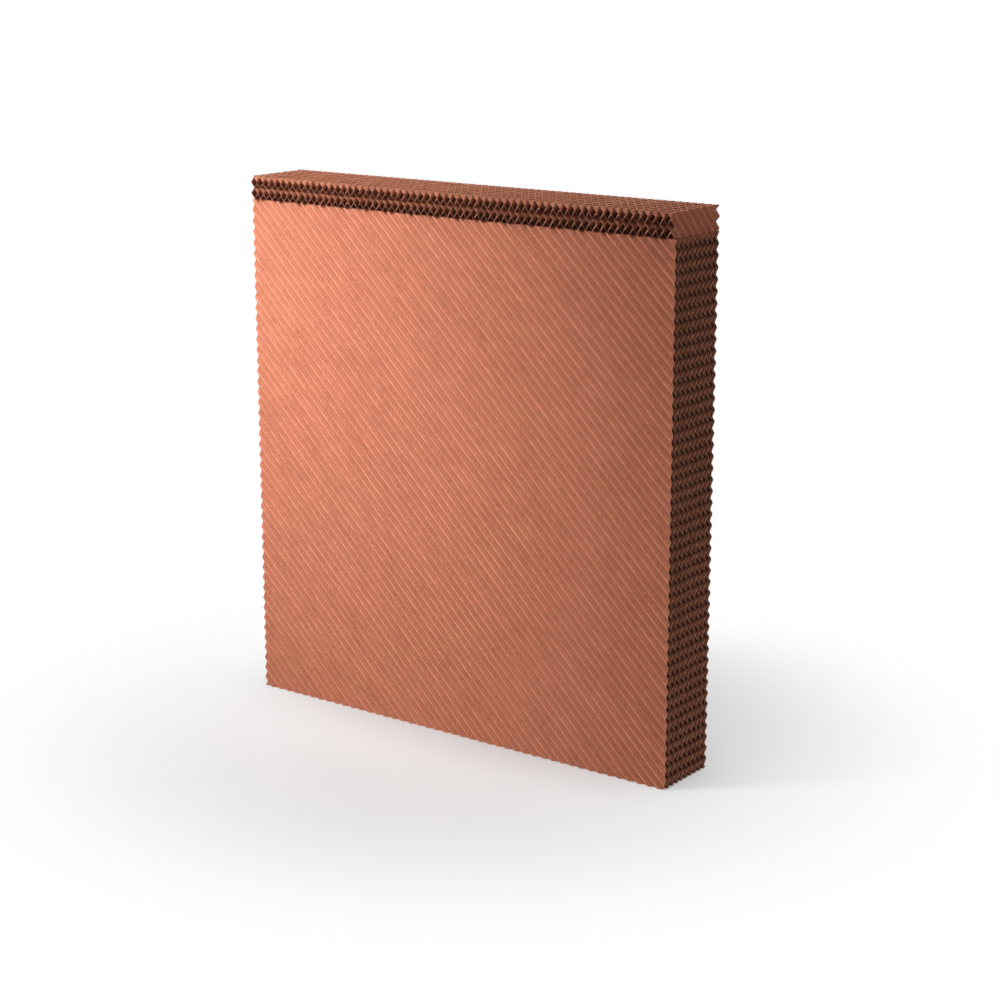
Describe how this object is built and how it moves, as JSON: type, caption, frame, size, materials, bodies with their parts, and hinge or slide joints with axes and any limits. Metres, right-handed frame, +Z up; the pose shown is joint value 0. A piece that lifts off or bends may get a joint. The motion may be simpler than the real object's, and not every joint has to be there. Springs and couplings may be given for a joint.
{
  "type": "evaporative cooling pad",
  "caption": "Upright block of cross-fluted kraft paper sheets glued crest to crest, with a low strip of the same paper on top that spreads the water.",
  "frame": {"origin": "centre of the pad's footprint, on the floor that it stands on", "axes": "+Z up, +X to the right along the broad face, +Y from the front to the back"},
  "size_m": [0.66, 0.0998, 0.711],
  "materials": {
    "kraft_paper": "matt"
  },
  "bodies": {
    "root": {"pad_sheets_falling": "kraft_paper", "pad_sheets_rising": "kraft_paper", "top_sheets_rising": "kraft_paper", "top_sheets_falling": "kraft_paper"}
  },
  "joints": []
}
